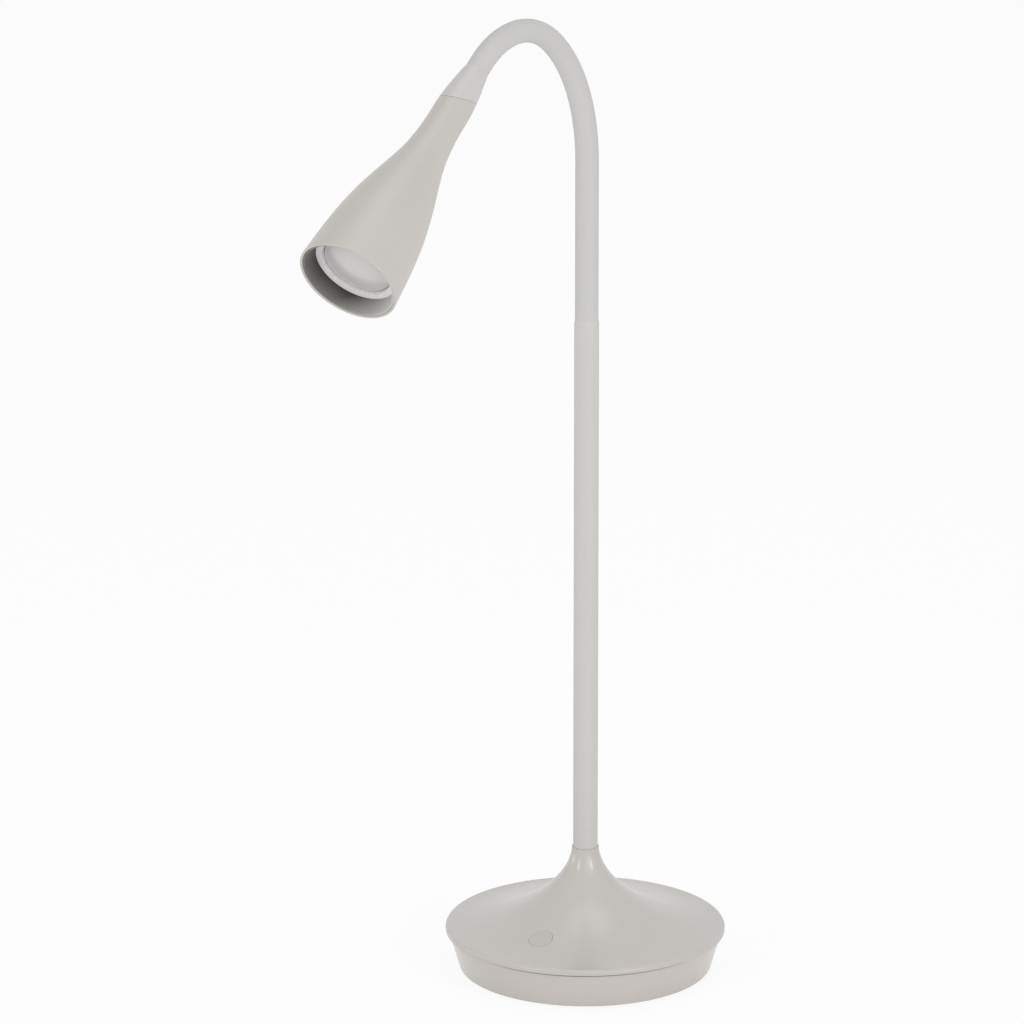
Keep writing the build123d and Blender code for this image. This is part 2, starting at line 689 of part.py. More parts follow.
with BuildPart() as board_capacitor:
    with BuildSketch(Plane.XY.offset(board_top)):
        with Locations((-board_part_column, board_part_row)):
            Circle(CAPACITOR_RADIUS)
    extrude(amount=CAPACITOR_HEIGHT)
    fillet(board_capacitor.edges().group_by(Axis.Z)[-1], CAPACITOR_RADIUS * PART_ROUND_SHARE)
finish(board_capacitor, "board_capacitor")

with BuildPart() as switch_body:
    with BuildSketch(Plane.XY.offset(board_top)):
        with Locations(button_place):
            Rectangle(SWITCH_WIDTH, SWITCH_WIDTH)
    extrude(amount=SWITCH_HEIGHT)
    with BuildSketch(Plane.XY.offset(switch_top)):
        with Locations(button_place):
            Circle(PLUNGER_RADIUS + SLIDE)
    extrude(amount=-PLUNGER_SOCKET, mode=Mode.SUBTRACT)
finish(switch_body, "switch_body")

# Plunger of the switch, and the button that presses it
plunger_foot = switch_top - PLUNGER_SOCKET + BUTTON_TRAVEL + FIT
with BuildPart() as switch_plunger:
    with BuildSketch(Plane.XY.offset(plunger_foot)):
        with Locations(button_place):
            Circle(PLUNGER_RADIUS)
    extrude(amount=plunger_top - plunger_foot)
finish(switch_plunger, "switch_plunger")

with BuildPart() as power_button:
    with BuildSketch(Plane.XY.offset(button_flange_foot)):
        with Locations(button_place):
            Circle(BUTTON_RADIUS)
    extrude(amount=cover_neck_top - button_flange_foot)
    add(cover_envelope.part, mode=Mode.INTERSECT)
    with BuildSketch(Plane.XY.offset(button_flange_foot)):
        with Locations(button_place):
            Circle(BUTTON_RADIUS + BUTTON_FLANGE)
    extrude(amount=BUTTON_FLANGE_THICKNESS)
    with BuildSketch(Plane.XY.offset(button_flange_foot)):
        with Locations(button_place):
            Circle(BUTTON_RADIUS - BUTTON_WALL)
    extrude(amount=BUTTON_HOLLOW, mode=Mode.SUBTRACT)
    with BuildSketch(Plane.XY.offset(plunger_top)):
        with Locations(button_place):
            Circle(BUTTON_POST_RADIUS)
    extrude(amount=button_flange_foot + BUTTON_HOLLOW - plunger_top)
finish(power_button, "power_button")

# Cord gland with its lock nut, square to the pan's wall
gland_nut_face = PAN_WALL + SLIDE + FIT
with BuildPart() as cord_gland:
    with BuildSketch(gland_plane.offset(FIT)):
        Circle(GLAND_FLANGE_RADIUS)
    extrude(amount=GLAND_FLANGE)
    fillet(cord_gland.edges().filter_by(GeomType.CIRCLE).sort_by(Axis(gland_point, gland_out))[-1],
           GLAND_FLANGE / 2)
    with BuildSketch(gland_plane.offset(FIT)):
        Circle(GLAND_RADIUS)
    extrude(amount=-(gland_nut_face + GLAND_TAIL))
    with BuildSketch(gland_plane.offset(OVERRUN)):
        Circle(GLAND_BORE)
    extrude(amount=-(gland_nut_face + GLAND_TAIL + OVERRUN + OVERRUN), mode=Mode.SUBTRACT)
finish(cord_gland, "cord_gland")

with BuildPart() as gland_nut:
    with BuildSketch(gland_plane.offset(-gland_nut_face)):
        RegularPolygon(gland_nut_radius, 6)
        Circle(GLAND_RADIUS + THREAD, mode=Mode.SUBTRACT)
    extrude(amount=-GLAND_NUT_HEIGHT)
finish(gland_nut, "gland_nut")

# Cord clamp on the pan's posts, grooved in line with the gland
with BuildPart() as cord_clamp:
    with BuildSketch(Plane.XY.offset(clamp_foot)):
        with Locations((0, clamp_reach)):
            RectangleRounded(CLAMP_WIDTH, CLAMP_DEPTH, CLAMP_POST_RADIUS)
        with Locations(*clamp_post_places):
            Circle(CLAMP_SCREW_RADIUS + FIT, mode=Mode.SUBTRACT)
    extrude(amount=CLAMP_HEIGHT)
    with BuildSketch(Plane(origin=(0, clamp_reach, clamp_foot), x_dir=(1, 0, 0), z_dir=(0, 1, 0))):
        Circle(GLAND_BORE)
    extrude(amount=CLAMP_DEPTH, both=True, mode=Mode.SUBTRACT)
finish(cord_clamp, "cord_clamp")

with BuildPart() as clamp_screws:
    screws([Plane(origin=(x, y, clamp_foot + CLAMP_HEIGHT)) for x, y in clamp_post_places],
           CLAMP_SCREW_RADIUS, CLAMP_SCREW_LENGTH, CLAMP_SCREW_HEAD_RADIUS, CLAMP_SCREW_HEAD_HEIGHT)
finish(clamp_screws, "clamp_screws")

# Lead from the board down through the ballast, under the nipple and up the stem
lead_table = board_top + LEAD_RADIUS + FIT
lead_floor = pan_floor_top + LEAD_RADIUS + FIT
lead_start = -button_reach + BOARD_DEPTH / 4
core_foot = STEM_TOP - CORE_ROOT
with BuildPart() as stem_lead:
    with BuildLine() as lead_path:
        FilletPolyline(
            (0, lead_start, lead_table),
            (0, -lead_hole_reach, lead_table),
            (0, -lead_hole_reach, lead_floor),
            (0, 0, lead_floor),
            (0, 0, core_foot - FIT),
            radius=[LEAD_BEND, LEAD_BEND, LEAD_FOOT_BEND],
        )
    with BuildSketch(Plane(origin=(0, lead_start, lead_table), x_dir=(1, 0, 0), z_dir=(0, 1, 0))):
        Circle(LEAD_RADIUS)
    sweep(path=lead_path.wire())
finish(stem_lead, "stem_lead")

# Ferrule that holds the root of the gooseneck's core in the stem
with BuildPart() as neck_ferrule:
    with BuildSketch(Plane.XY.offset(STEM_TOP - FERRULE_LENGTH)):
        Circle(stem_bore - FIT)
        Circle(core_radius + FIT, mode=Mode.SUBTRACT)
    extrude(amount=FERRULE_LENGTH)
finish(neck_ferrule, "neck_ferrule")

# Gooseneck links: each ends in a dome about its joint, and the next link starts in a cup around it
layers = {
    "sleeve": (SLEEVE_RADIUS, SLEEVE_RADIUS - SLEEVE_WALL, 0, 0),
    "core": (core_radius, core_bore, CORE_ROOT, CORE_END),
}
for layer, (outer, inner, root, tip) in layers.items():
    for link in range(JOINT_COUNT + 1):
        first = link == 0
        last = link == JOINT_COUNT
        start = -root if first else joint_runs[link - 1]
        end = neck_length + tip if last else joint_runs[link] + joint_ball
        with BuildPart() as neck_link:
            neck_tube(start, end, outer, inner)
            if not first:
                cut_cup(joint_runs[link - 1])
            if not last:
                cut_dome(joint_runs[link])
        finish(neck_link, f"neck_{layer}_{link}")

# Oblique plane where the collar meets the shade, facing the mouth
seam_normal = head_plane.z_dir.rotate(Axis(head_plane.origin, head_plane.x_dir), SEAM_TILT)
seam_plane = Plane(head_plane.offset(SEAM_STATION).origin, x_dir=(1, 0, 0), z_dir=seam_normal)

# Solid bounded by the outer face of collar and shade, up to the mouth
with BuildPart() as head_envelope:
    with BuildSketch(head_section):
        with BuildLine():
            Polyline(shade_outline[-1], (0, mouth_station), (0, 0), collar_outline[0])
            Spline(collar_outline + shade_outline)
        make_face()
    revolve(axis=head_axis)

# Head collar: cone on the end of the gooseneck with a spigot that enters the shade
collar_bore = core_radius + FIT
spigot_end = COLLAR_LENGTH + SPIGOT_LENGTH
ferrule_start = SEAM_STATION - END_FERRULE_LENGTH / 2
with BuildPart() as head_collar:
    add(head_envelope.part)
    split(bisect_by=seam_plane, keep=Keep.BOTTOM)
    with BuildSketch(head_plane.offset(ferrule_start)):
        Circle(spigot_radius)
    extrude(amount=spigot_end - ferrule_start)
    with BuildSketch(head_plane):
        Circle(collar_bore)
    extrude(amount=spigot_end, mode=Mode.SUBTRACT)
    with BuildSketch(head_plane.offset(ferrule_start)):
        Circle(spigot_bore)
    extrude(amount=spigot_end - ferrule_start, mode=Mode.SUBTRACT)
finish(head_collar, "head_collar")

# Ferrule crimped on the end of the core, inside the collar
with BuildPart() as end_ferrule:
    with BuildSketch(head_plane.offset(ferrule_start)):
        Circle(spigot_bore - FIT)
        Circle(core_radius + FIT, mode=Mode.SUBTRACT)
    extrude(amount=END_FERRULE_LENGTH)
finish(end_ferrule, "end_ferrule")

# Stations of the light module, behind the mouth
ring_front = mouth_station - LENS_RING_DEPTH
ring_back = ring_front - LENS_RING_THICKNESS
lens_back = ring_back - LENS_FLANGE
reflector_back = lens_back - REFLECTOR_HEIGHT
led_front = reflector_back
sink_front = led_front - LED_BOARD_THICKNESS
ledge_front = sink_front - SINK_FLANGE
ledge_back = ledge_front - LEDGE_THICKNESS

# Radii of the light module, from the shade's wall inwards
baffle_foot_radius = shade_radius(lens_back) - SHADE_WALL - SLIDE
ring_outer = baffle_foot_radius - BAFFLE_FOOT - FIT
lens_ring_inner = ring_outer - LENS_RING_WIDTH
lens_flange_radius = lens_ring_inner + LENS_FLANGE_LAP
sink_flange_radius = shade_radius(ledge_front) - SHADE_WALL - SINK_GAP
ledge_inner = sink_flange_radius - LEDGE_LAP
sink_fin_radius = ledge_inner - SINK_FIN_GAP
module_screw_circle = sink_flange_radius - LEDGE_LAP / 2
led_board_radius = module_screw_circle - MODULE_SCREW_HEAD_RADIUS - LED_BOARD_GAP
led_screw_circle = led_board_radius - LED_SCREW_INSET
reflector_throat = led_screw_circle - LED_SCREW_HEAD_RADIUS - REFLECTOR_GAP - REFLECTOR_WALL
emitter_radius = reflector_throat - EMITTER_GAP

# Shade: thin trumpet with a rounded mouth and an inner ledge that carries the light module
inner_outline = [(radius - SHADE_WALL, station) for radius, station in shade_outline]
with BuildPart() as shade:
    add(head_envelope.part)
    split(bisect_by=seam_plane.offset(SEAM_WIDTH), keep=Keep.TOP)
    with BuildSketch(head_section):
        with BuildLine():
            Polyline(
                inner_outline[-1],
                (0, mouth_station),
                (0, 0),
                (inner_outline[0][0], 0),
                inner_outline[0],
            )
            Spline(inner_outline)
        make_face()
    revolve(axis=head_axis, mode=Mode.SUBTRACT)
    fillet(shade.edges().sort_by(head_axis)[-2:], SHADE_WALL * LIP_ROUND_SHARE)
    with BuildSketch(head_section):
        with BuildLine():
            Polyline(
                (ledge_inner, ledge_front),
                (shade_radius(ledge_front) - SHADE_WALL / 2, ledge_front),
                (shade_radius(ledge_back) - SHADE_WALL / 2, ledge_back),
                (ledge_inner, ledge_back),
                close=True,
            )
        make_face()
    revolve(axis=head_axis)
    with BuildSketch(head_plane.offset(ledge_front)):
        with PolarLocations(module_screw_circle, MODULE_SCREW_COUNT):
            Circle(MODULE_SCREW_RADIUS + THREAD)
    extrude(amount=-LEDGE_THICKNESS, mode=Mode.SUBTRACT)
finish(shade, "shade")

# Glare baffle: dark ring that lines the mouth and narrows to the lens ring
baffle_front = mouth_station - BAFFLE_SETBACK
baffle_mouth = shade_radius(baffle_front) - SHADE_WALL - FIT
with BuildPart() as glare_baffle:
    with BuildSketch(head_section):
        with BuildLine():
            Polyline(
                (ring_outer + FIT, lens_back),
                (baffle_foot_radius, lens_back),
                (baffle_mouth, baffle_front),
                (baffle_mouth - BAFFLE_WALL, baffle_front),
                (ring_outer + FIT, ring_front),
                close=True,
            )
        make_face()
    revolve(axis=head_axis)
finish(glare_baffle, "glare_baffle")

# Lens ring with notches around its inner edge
with BuildPart() as lens_ring:
    with BuildSketch(head_plane.offset(ring_back)):
        Circle(ring_outer)
        Circle(lens_ring_inner, mode=Mode.SUBTRACT)
    extrude(amount=LENS_RING_THICKNESS)
    with BuildSketch(head_plane.offset(ring_front)):
        with PolarLocations(lens_ring_inner, RING_NOTCH_COUNT):
            Rectangle(RING_NOTCH_LENGTH, RING_NOTCH_WIDTH)
    extrude(amount=-RING_NOTCH_DEPTH, mode=Mode.SUBTRACT)
finish(lens_ring, "lens_ring")

# Lens: frosted disc, domed towards the mouth, with a flange behind the ring
dome_radius = lens_ring_inner - LENS_GAP
dome_foot = ring_back + LENS_EDGE
dome_crown = dome_foot + LENS_CROWN
dome_ball = (dome_radius**2 + LENS_CROWN**2) / (2 * LENS_CROWN)
with BuildPart() as lens:
    with BuildSketch(head_section):
        with BuildLine():
            Polyline(
                (0, dome_crown),
                (0, lens_back),
                (lens_flange_radius, lens_back),
                (lens_flange_radius, ring_back),
                (dome_radius, ring_back),
                (dome_radius, dome_foot),
            )
            RadiusArc((0, dome_crown), (dome_radius, dome_foot), dome_ball)
        make_face()
    revolve(axis=head_axis)
finish(lens, "lens")

# Reflector: short collar past the screw heads, then a cone out to the lens
reflector_rim = lens_flange_radius - REFLECTOR_WALL
reflector_collar = reflector_back + LED_SCREW_HEAD_HEIGHT + SLIDE
with BuildPart() as reflector:
    with BuildSketch(head_section):
        with BuildLine():
            Polyline(
                (reflector_throat, reflector_back),
                (reflector_throat + REFLECTOR_WALL, reflector_back),
                (reflector_throat + REFLECTOR_WALL, reflector_collar),
                (lens_flange_radius, lens_back),
                (reflector_rim, lens_back),
                (reflector_throat, reflector_collar),
                close=True,
            )
        make_face()
    revolve(axis=head_axis)
finish(reflector, "reflector")

# Board and emitter of the light source, with its screws
with BuildPart() as led_board:
    with BuildSketch(head_plane.offset(sink_front)):
        Circle(led_board_radius)
        with PolarLocations(led_screw_circle, LED_SCREW_COUNT):
            Circle(LED_SCREW_RADIUS + FIT, mode=Mode.SUBTRACT)
    extrude(amount=LED_BOARD_THICKNESS)
finish(led_board, "led_board")

with BuildPart() as led_emitter:
    with BuildSketch(head_plane.offset(led_front)):
        Circle(emitter_radius)
    extrude(amount=EMITTER_HEIGHT)
finish(led_emitter, "led_emitter")


def around_head(station, circle, count):
    """Planes spaced around the head's axis at a station, facing the mouth."""
    level = head_plane.offset(station)
    planes = []
    for index in range(count):
        turn = 2 * math.pi * index / count
        place = (circle * math.cos(turn), circle * math.sin(turn), 0)
        planes.append(Plane(origin=level.from_local_coords(place), x_dir=level.x_dir, z_dir=level.z_dir))
    return planes


with BuildPart() as led_screws:
    screws(around_head(led_front, led_screw_circle, LED_SCREW_COUNT), LED_SCREW_RADIUS,
           LED_SCREW_LENGTH, LED_SCREW_HEAD_RADIUS, LED_SCREW_HEAD_HEIGHT)
finish(led_screws, "led_screws")

# Heat sink: flange on the shade's ledge, and round fins on a core behind it
sink_back = ledge_front - SINK_FIN_PITCH * SINK_FIN_COUNT
with BuildPart() as heat_sink:
    with BuildSketch(head_plane.offset(ledge_front)):
        Circle(sink_flange_radius)
    extrude(amount=SINK_FLANGE)
    with BuildSketch(head_plane.offset(sink_back)):
        Circle(SINK_CORE_RADIUS)
    extrude(amount=ledge_front - sink_back)
    for fin in range(SINK_FIN_COUNT):
        with BuildSketch(head_plane.offset(sink_back + SINK_FIN_PITCH * fin)):
            Circle(sink_fin_radius)
        extrude(amount=SINK_FIN_THICKNESS)
    with BuildSketch(head_plane.offset(sink_back)):
        Circle(SINK_BORE)
    extrude(amount=sink_front - sink_back, mode=Mode.SUBTRACT)
    with BuildSketch(head_plane.offset(sink_front)):
        with PolarLocations(led_screw_circle, LED_SCREW_COUNT):
            Circle(LED_SCREW_RADIUS + THREAD)
    extrude(amount=-LED_SCREW_LENGTH, mode=Mode.SUBTRACT)
    with BuildSketch(head_plane.offset(sink_front)):
        with PolarLocations(module_screw_circle, MODULE_SCREW_COUNT):
            Circle(MODULE_SCREW_RADIUS + FIT)
    extrude(amount=-SINK_FLANGE, mode=Mode.SUBTRACT)
finish(heat_sink, "heat_sink")

with BuildPart() as module_screws:
    screws(around_head(sink_front, module_screw_circle, MODULE_SCREW_COUNT), MODULE_SCREW_RADIUS,
           MODULE_SCREW_LENGTH, MODULE_SCREW_HEAD_RADIUS, MODULE_SCREW_HEAD_HEIGHT)
finish(module_screws, "module_screws")

# Lead along the head, from the end of the gooseneck to the light source
with BuildPart() as head_lead:
    with BuildSketch(head_plane.offset(CORE_END + FIT)):
        Circle(LEAD_RADIUS)
    extrude(amount=sink_front - CORE_END - FIT)
finish(head_lead, "head_lead")
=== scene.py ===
"""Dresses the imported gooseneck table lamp: neck sleeve, finishes, studio stage and camera."""

import json
import math

import bpy
import numpy as np
from mathutils import Matrix, Vector

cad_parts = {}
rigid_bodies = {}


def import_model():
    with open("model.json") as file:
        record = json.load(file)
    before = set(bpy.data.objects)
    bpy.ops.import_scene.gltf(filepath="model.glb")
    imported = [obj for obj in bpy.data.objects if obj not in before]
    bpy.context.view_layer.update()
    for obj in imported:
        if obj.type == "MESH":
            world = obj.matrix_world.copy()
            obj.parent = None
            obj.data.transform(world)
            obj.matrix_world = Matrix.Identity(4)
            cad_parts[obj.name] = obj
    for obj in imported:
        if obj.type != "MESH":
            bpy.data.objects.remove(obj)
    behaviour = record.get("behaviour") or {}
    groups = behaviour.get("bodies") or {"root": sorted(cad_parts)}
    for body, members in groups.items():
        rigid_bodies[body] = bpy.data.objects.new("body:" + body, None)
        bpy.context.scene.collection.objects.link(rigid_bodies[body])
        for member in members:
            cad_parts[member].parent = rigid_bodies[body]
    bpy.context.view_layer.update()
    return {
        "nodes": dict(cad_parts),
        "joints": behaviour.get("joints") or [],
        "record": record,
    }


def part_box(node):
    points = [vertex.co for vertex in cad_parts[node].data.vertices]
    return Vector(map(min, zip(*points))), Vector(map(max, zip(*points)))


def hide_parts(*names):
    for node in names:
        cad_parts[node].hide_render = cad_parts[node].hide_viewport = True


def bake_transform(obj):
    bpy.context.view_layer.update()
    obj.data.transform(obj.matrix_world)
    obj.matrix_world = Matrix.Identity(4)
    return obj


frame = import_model()

bl_info = {
    "name": "Gooseneck table lamp",
    "version": (1, 0, 0),
    "blender": (4, 5, 0),
    "location": "3D View > Sidebar > Lamp",
    "description": "Dresses the packed table lamp and sets its studio stage",
    "category": "Object",
}

MM = 0.001
ACROSS = np.array((1.0, 0.0, 0.0))
WHITE = (1.0, 1.0, 1.0, 1.0)
PAPER = (0.92, 0.92, 0.92, 1.0)
# Corners sharper than this stay creased, such as the cut ends of the sleeve.
CREASE = math.radians(40)
# Steps of the running sum along the neck, then rows along a stretch of sleeve and points round it.
LINE_STEPS = 20000
SLEEVE_ROWS = 24
SLEEVE_POINTS = 72
# Half the floor's side, and how far it lies below the lamp's foot so that the two don't flicker.
FLOOR_REACH = 7.0
FLOOR_DROP = 0.2 * MM
# Soft boxes: name, turn from the camera in degrees, distance, height, size of the face, level.
SOFT_BOXES = (
    ("left_strip", -46, 1.7, 0.75, (0.24, 0.5), 9.0),
    ("right_strip", 43, 1.7, 0.75, (0.24, 0.5), 9.0),
    ("front_fill", 25, 2.6, 0.9, (1.8, 1.4), 1.85),
    ("top_fill", 150, 0.3, 2.2, (1.2, 1.2), 1.1),
    ("low_fill", -95, 1.2, 0.15, (0.6, 0.3), 2.4),
)
LIGHT_AIM = (0.0, 0.0, 0.2)
NODE_SLOTS = {part["node"]: part["material_slot"] for part in frame["record"]["subparts"]}
HINGES = {joint["parent"]: joint for joint in frame["joints"] if joint["type"] == "hinge"}


def neck_joints(body="base"):
    """The neck's hinges in their order from the base to the head."""
    chain = []
    while body in HINGES:
        chain.append(HINGES[body])
        body = chain[-1]["child"]
    return chain


def linear(code):
    """An sRGB hex colour as linear red, green and blue."""
    srgb = np.array([int(code[at:at + 2], 16) for at in (1, 3, 5)]) / 255
    return np.where(srgb <= 0.04045, srgb / 12.92, ((srgb + 0.055) / 1.055) ** 2.4).tolist()


def colour(name, description, code):
    """A colour property from an sRGB hex value."""
    return bpy.props.FloatVectorProperty(
        name=name, description=description, default=linear(code),
        size=3, min=0.0, max=1.0, subtype="COLOR")


def length(name, description, millimetres):
    """A length property from a size in millimetres."""
    return bpy.props.FloatProperty(
        name=name, description=description, default=millimetres * MM,
        min=0.0, precision=5, unit="LENGTH")


def angle(name, description, degrees):
    """An angle property from a size in degrees."""
    return bpy.props.FloatProperty(
        name=name, description=description, default=math.radians(degrees), subtype="ANGLE")


class LampColours(bpy.types.PropertyGroup):
    """Colours of the finishes that show from outside."""

    cover: colour("Cover", "Satin plastic of the base's cover", "#BFBBB7")
    button: colour("Button", "Satin plastic of the push button", "#BBB7B3")
    pan: colour("Pan", "Satin plastic of the skirt under the cover", "#C4BFBA")
    stem: colour("Stem", "Powder coat of the straight tube", "#C6C4C1")
    sleeve: colour("Sleeve", "Silicone of the gooseneck", "#C4C3C1")
    collar: colour("Collar", "Satin plastic between neck and shade", "#C4C1BF")
    shade: colour("Shade", "Powder coat of the lamp head", "#BFBBB6")
    # The two baffle colours are painted shade and painted light: dark deep in the recess where shade
    # falls, light near the mouth and on one side where light reaches the wall.
    baffle_painted_shade: colour("Baffle, deep", "Dark moulding beside the lens ring", "#242323")
    baffle_painted_light: colour("Baffle, edge", "Overspray on the moulding near the mouth", "#C6C4C0")
    ring: colour("Lens ring", "Translucent white ring around the lens", "#F2EFF0")
    lens: colour("Lens", "Frosted lens", "#CDC9C8")


class LampSizes(bpy.types.PropertyGroup):
    """Sizes of the gooseneck's sleeve and stations of the head."""

    sleeve_radius: length("Sleeve radius", "Outside of the gooseneck", 6.2)
    sleeve_bore: length("Sleeve bore", "Radius of the hollow around the steel core", 5.3)
    rise: length("Rise", "Straight run above the stem", 85.0)
    shoulder_radius: length("Shoulder radius", "First bend of the neck", 91.8)
    shoulder_turn: angle("Shoulder turn", "Turn of the first bend", 53.3)
    crest_radius: length("Crest radius", "Bend over the top", 65.2)
    crest_turn: angle("Crest turn", "Turn over the top", 50.75)
    dip_radius: length("Dip radius", "Bend down to the head", 55.0)
    dip_turn: angle("Dip turn", "Turn down to the head", 18.63)
    tail: length("Tail", "Straight run before the head", 6.0)
    first_joint: length("First joint", "Run from the stem to the first bending place", 10.0)
    last_link: length("Last link", "Run from the last bending place to the head", 22.0)
    head_length: length("Head length", "From the end of the neck to the mouth of the shade", 148.8)
    lens_depth: length("Lens depth", "From the mouth of the shade back to the lens ring", 9.6)


class LampStage(bpy.types.PropertyGroup):
    """The camera and the light level."""

    heading: angle("Heading", "Turn of the camera round the upright", 30.78)
    tip: angle("Tip", "How far the camera looks down", 17.42)
    place: bpy.props.FloatVectorProperty(
        name="Camera place", description="Where the camera stands", size=3, precision=5,
        default=(2.36747, -4.05146, 1.72749), subtype="TRANSLATION", unit="LENGTH")
    focal: bpy.props.FloatProperty(
        name="Focal length", description="Lens of the camera in millimetres", default=326.25, min=1.0)
    sensor: bpy.props.FloatProperty(
        name="Sensor", description="Width of the film in millimetres", default=36.0, min=1.0)
    dome: bpy.props.FloatProperty(
        name="Dome", description="Level of the even light from all round", default=0.66, min=0.0)
    glow: bpy.props.FloatProperty(
        name="Paper glow", description="Share of plain white in the floor as the camera sees it",
        default=0.9, min=0.0, max=1.0, subtype="FACTOR")


def add(tree, kind, inputs, **settings):
    """Add a node: settings are its own values, inputs are values or sockets to link."""
    made = tree.nodes.new(kind)
    for name, value in settings.items():
        setattr(made, name, value)
    for name, value in inputs.items():
        if isinstance(value, bpy.types.NodeSocket):
            tree.links.new(value, made.inputs[name])
        else:
            made.inputs[name].default_value = value
    return made


def empty_tree(owner):
    """The node tree of a new material or world, cleared."""
    owner.use_nodes = True
    owner.node_tree.nodes.clear()
    return owner.node_tree


def finish(name, tint, drift=0.02, drift_mm=30.0, grain_mm=1.0, grain_depth_mm=0.004,
           gloss=(0.4, 0.5), fades=(), **shader):
    """A surface whose colour and roughness drift in soft clouds, with a fine grain pressed into it.

    Each fade is a second colour with the place and direction where it begins and the length over
    which it takes over. What else is given goes straight to the shader's sockets.
    """
    material = bpy.data.materials.new(name)
    tree = empty_tree(material)
    place = add(tree, "ShaderNodeTexCoord", {}).outputs["Object"]
    cloud = add(tree, "ShaderNodeTexNoise", {
        "Vector": place, "Scale": 1 / (drift_mm * MM), "Detail": 3.0}).outputs[0]
    darker = [part * (1 - drift) for part in tint] + [1.0]
    lighter = [min(part * (1 + drift), 1.0) for part in tint] + [1.0]
    paint = add(tree, "ShaderNodeMix", {0: cloud, 6: darker, 7: lighter}, data_type="RGBA").outputs[2]
    for second, start, along, run in fades:
        from_start = add(tree, "ShaderNodeVectorMath", {0: place, 1: start}, operation="SUBTRACT")
        depth = add(tree, "ShaderNodeVectorMath", {0: from_start.outputs[0], 1: along},
                    operation="DOT_PRODUCT")
        share = add(tree, "ShaderNodeMapRange", {"Value": depth.outputs["Value"], "From Max": run})
        paint = add(tree, "ShaderNodeMix", {0: share.outputs[0], 6: paint, 7: [*second, 1.0]},
                    data_type="RGBA").outputs[2]
    rough = add(tree, "ShaderNodeMapRange", {
        "Value": cloud, "To Min": gloss[0], "To Max": gloss[1]}).outputs[0]
    grain = add(tree, "ShaderNodeTexNoise", {
        "Vector": place, "Scale": 1 / (grain_mm * MM), "Detail": 2.0}).outputs[0]
    bump = add(tree, "ShaderNodeBump", {
        "Strength": 1.0, "Distance": grain_depth_mm * MM, "Height": grain}).outputs[0]
    surface = add(tree, "ShaderNodeBsdfPrincipled", {
        "Base Color": paint, "Roughness": rough, "Normal": bump, **shader})
    add(tree, "ShaderNodeOutputMaterial", {"Surface": surface.outputs[0]})
    return material


def dress(material, *nodes):
    """Give a finish to solid pieces by name."""
    for node in nodes:
        for place in frame["nodes"][node].material_slots:
            place.material = material


def nodes_of(slot):
    """The solid pieces of one material slot."""
    return [node for node, own in NODE_SLOTS.items() if own == slot]


def grid_mesh(name, points):
    """A mesh of four-sided faces over a grid that closes on itself both ways."""
    rows, columns = points.shape[:2]
    row, column = np.meshgrid(np.arange(rows), np.arange(columns), indexing="ij")
    below, beside = (row + 1) % rows, (column + 1) % columns
    corners = np.stack((row * columns + column, row * columns + beside,
                        below * columns + beside, below * columns + column), axis=-1)
    mesh = bpy.data.meshes.new(name)
    mesh.from_pydata(points.reshape(-1, 3).tolist(), [], corners.reshape(-1, 4).tolist(),
                     shade_flat=False)
    mesh.set_sharp_from_angle(angle=CREASE)
    made = bpy.data.objects.new(name, mesh)
    bpy.context.scene.collection.objects.link(made)
    return made


def neck_line(sizes, runs):
    """Centre points and leans of the neck at the given runs above the stem, and its whole length.

    The lean grows by run / radius along each bend and holds on the straight ends. The line is the
    running sum of (-sin lean, cos lean) in the plane of the bend.
    """
    bends = ((sizes.shoulder_radius, sizes.shoulder_turn), (sizes.crest_radius, sizes.crest_turn),
             (sizes.dip_radius, sizes.dip_turn))
    ends = np.cumsum([0.0, sizes.rise] + [radius * turn for radius, turn in bends] + [sizes.tail])
    leans = np.cumsum([0.0, 0.0] + [turn for _, turn in bends] + [0.0])
    steps = np.linspace(0.0, ends[-1], LINE_STEPS + 1)
    middle = np.interp((steps[1:] + steps[:-1]) / 2, ends, leans)
    along = np.concatenate(([0.0], np.cumsum(-np.sin(middle)))) * steps[1]
    above = np.concatenate(([0.0], np.cumsum(np.cos(middle)))) * steps[1]
    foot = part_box("stem_tube")[1].z
    line = np.stack((np.zeros_like(runs), np.interp(runs, steps, along),
                     foot + np.interp(runs, steps, above)), axis=-1)
    return line, np.interp(runs, ends, leans), ends[-1]


def head_place(sizes, back):
    """A point on the head's axis, given its distance back from the mouth, and the axis's direction."""
    total = neck_line(sizes, np.zeros(1))[2]
    line, leans, _ = neck_line(sizes, np.array([total]))
    along = np.array((0.0, -math.sin(leans[0]), math.cos(leans[0])))
    return line[0] + along * (sizes.head_length - back), along


def sleeve_skin(sizes, name, start, end):
    """A stretch of hollow tube: its wall's outline carried round the neck's line.

    The outline runs up the outside and back down the bore. A point is the line's point at the run
    plus radius * (cos v * across + sin v * outward), where outward stands square to the line.
    """
    # The first and last rows lie close together, so that the shading stays even up to the cut.
    shares = np.concatenate(([0.0, 0.005], np.linspace(0.03, 0.97, SLEEVE_ROWS), [0.995, 1.0]))
    runs = start + (end - start) * np.concatenate((shares, shares[::-1]))
    radii = np.repeat((sizes.sleeve_radius, sizes.sleeve_bore), len(shares))
    line, leans, _ = neck_line(sizes, runs)
    turn = np.linspace(0.0, math.tau, SLEEVE_POINTS, endpoint=False)
    outward = np.stack((np.zeros_like(leans), np.cos(leans), np.sin(leans)), axis=-1)
    ring = np.cos(turn)[None, :, None] * ACROSS + np.sin(turn)[None, :, None] * outward[:, None, :]
    return grid_mesh(name, line[:, None, :] + radii[:, None, None] * ring)


